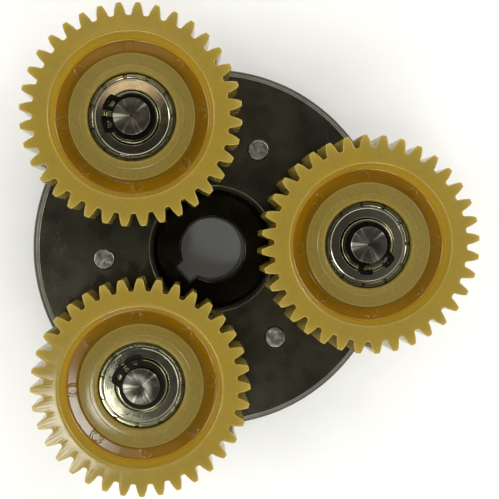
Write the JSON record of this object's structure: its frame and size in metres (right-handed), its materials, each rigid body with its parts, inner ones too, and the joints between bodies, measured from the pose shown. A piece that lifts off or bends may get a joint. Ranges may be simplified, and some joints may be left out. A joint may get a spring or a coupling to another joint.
{
  "type": "planetary gearbox",
  "caption": "Planetary gearbox carrier: nylon planet gears on ball bearings, on a black steel disc with a keyed one-way roller clutch.",
  "frame": {"origin": "on the carrier axis at the rear face of the rear cover", "axes": "+Z along the carrier axis from the rear cover to the planet gears, +X towards the first planet pin"},
  "size_m": [0.0991, 0.1058, 0.0264],
  "materials": {
    "amber_nylon": "moulded, satin, slightly see-through",
    "black_steel": "ground and black oxided, bright worn edges",
    "hub_steel": "black oxided",
    "rivet_steel": "peened",
    "pin_steel": "turned end face",
    "bearing_steel": "ground",
    "shield_steel": "pressed sheet",
    "spring_steel": "drawn wire",
    "clip_steel": "phosphated black"
  },
  "bodies": {
    "carrier": {"rear_cover": "black_steel", "cam_ring": "black_steel", "front_plate": "black_steel", "rivet_1": "rivet_steel", "rivet_2": "rivet_steel", "rivet_3": "rivet_steel", "roller_spring_1": "spring_steel", "roller_spring_2": "spring_steel", "roller_spring_3": "spring_steel", "roller_spring_4": "spring_steel", "roller_spring_5": "spring_steel", "roller_spring_6": "spring_steel", "planet_pin_1": "pin_steel", "spacer_1": "pin_steel", "inner_ring_1": "bearing_steel", "circlip_1": "clip_steel", "planet_pin_2": "pin_steel", "spacer_2": "pin_steel", "inner_ring_2": "bearing_steel", "circlip_2": "clip_steel", "planet_pin_3": "pin_steel", "spacer_3": "pin_steel", "inner_ring_3": "bearing_steel", "circlip_3": "clip_steel"},
    "hub": {"clutch_hub": "hub_steel"},
    "roller_1_body": {"roller_1": "pin_steel"},
    "roller_2_body": {"roller_2": "pin_steel"},
    "roller_3_body": {"roller_3": "pin_steel"},
    "roller_4_body": {"roller_4": "pin_steel"},
    "roller_5_body": {"roller_5": "pin_steel"},
    "roller_6_body": {"roller_6": "pin_steel"},
    "planet_1": {"planet_gear_1": "amber_nylon", "outer_ring_1": "bearing_steel", "front_shield_1": "shield_steel", "rear_shield_1": "shield_steel"},
    "balls_1": {"ball_set_1": "bearing_steel"},
    "planet_2": {"planet_gear_2": "amber_nylon", "outer_ring_2": "bearing_steel", "front_shield_2": "shield_steel", "rear_shield_2": "shield_steel"},
    "balls_2": {"ball_set_2": "bearing_steel"},
    "planet_3": {"planet_gear_3": "amber_nylon", "outer_ring_3": "bearing_steel", "front_shield_3": "shield_steel", "rear_shield_3": "shield_steel"},
    "balls_3": {"ball_set_3": "bearing_steel"}
  },
  "joints": [
    {"name": "hub_spin", "type": "hinge", "parent": "carrier", "child": "hub", "pos_m": [0, 0, 0.0065], "axis": [0, 0, 1], "continuous": true},
    {"name": "roller_1_spin", "type": "hinge", "parent": "carrier", "child": "roller_1_body", "pos_m": [0.01615, 0.00932, 0.0061], "axis": [0, 0, 1], "continuous": true},
    {"name": "roller_2_spin", "type": "hinge", "parent": "carrier", "child": "roller_2_body", "pos_m": [0, 0.01865, 0.0061], "axis": [0, 0, 1], "continuous": true},
    {"name": "roller_3_spin", "type": "hinge", "parent": "carrier", "child": "roller_3_body", "pos_m": [-0.01615, 0.00932, 0.0061], "axis": [0, 0, 1], "continuous": true},
    {"name": "roller_4_spin", "type": "hinge", "parent": "carrier", "child": "roller_4_body", "pos_m": [-0.01615, -0.00932, 0.0061], "axis": [0, 0, 1], "continuous": true},
    {"name": "roller_5_spin", "type": "hinge", "parent": "carrier", "child": "roller_5_body", "pos_m": [0, -0.01865, 0.0061], "axis": [0, 0, 1], "continuous": true},
    {"name": "roller_6_spin", "type": "hinge", "parent": "carrier", "child": "roller_6_body", "pos_m": [0.01615, -0.00932, 0.0061], "axis": [0, 0, 1], "continuous": true},
    {"name": "planet_1_spin", "type": "hinge", "parent": "carrier", "child": "planet_1", "pos_m": [0.03375, 0, 0.0204], "axis": [0, 0, 1], "continuous": true},
    {"name": "balls_1_orbit", "type": "hinge", "parent": "carrier", "child": "balls_1", "pos_m": [0.03375, 0, 0.0196], "axis": [0, 0, 1], "continuous": true},
    {"name": "planet_2_spin", "type": "hinge", "parent": "carrier", "child": "planet_2", "pos_m": [-0.01688, 0.02923, 0.0204], "axis": [0, 0, 1], "continuous": true},
    {"name": "balls_2_orbit", "type": "hinge", "parent": "carrier", "child": "balls_2", "pos_m": [-0.01688, 0.02923, 0.0196], "axis": [0, 0, 1], "continuous": true},
    {"name": "planet_3_spin", "type": "hinge", "parent": "carrier", "child": "planet_3", "pos_m": [-0.01688, -0.02923, 0.0204], "axis": [0, 0, 1], "continuous": true},
    {"name": "balls_3_orbit", "type": "hinge", "parent": "carrier", "child": "balls_3", "pos_m": [-0.01688, -0.02923, 0.0196], "axis": [0, 0, 1], "continuous": true}
  ],
  "couplings": [
    {"joint": "roller_1_spin", "follows": "hub_spin", "ratio": -6.4},
    {"joint": "roller_2_spin", "follows": "hub_spin", "ratio": -6.4},
    {"joint": "roller_3_spin", "follows": "hub_spin", "ratio": -6.4},
    {"joint": "roller_4_spin", "follows": "hub_spin", "ratio": -6.4},
    {"joint": "roller_5_spin", "follows": "hub_spin", "ratio": -6.4},
    {"joint": "roller_6_spin", "follows": "hub_spin", "ratio": -6.4},
    {"joint": "balls_1_orbit", "follows": "planet_1_spin", "ratio": 0.61},
    {"joint": "balls_2_orbit", "follows": "planet_2_spin", "ratio": 0.61},
    {"joint": "balls_3_orbit", "follows": "planet_3_spin", "ratio": 0.61}
  ]
}
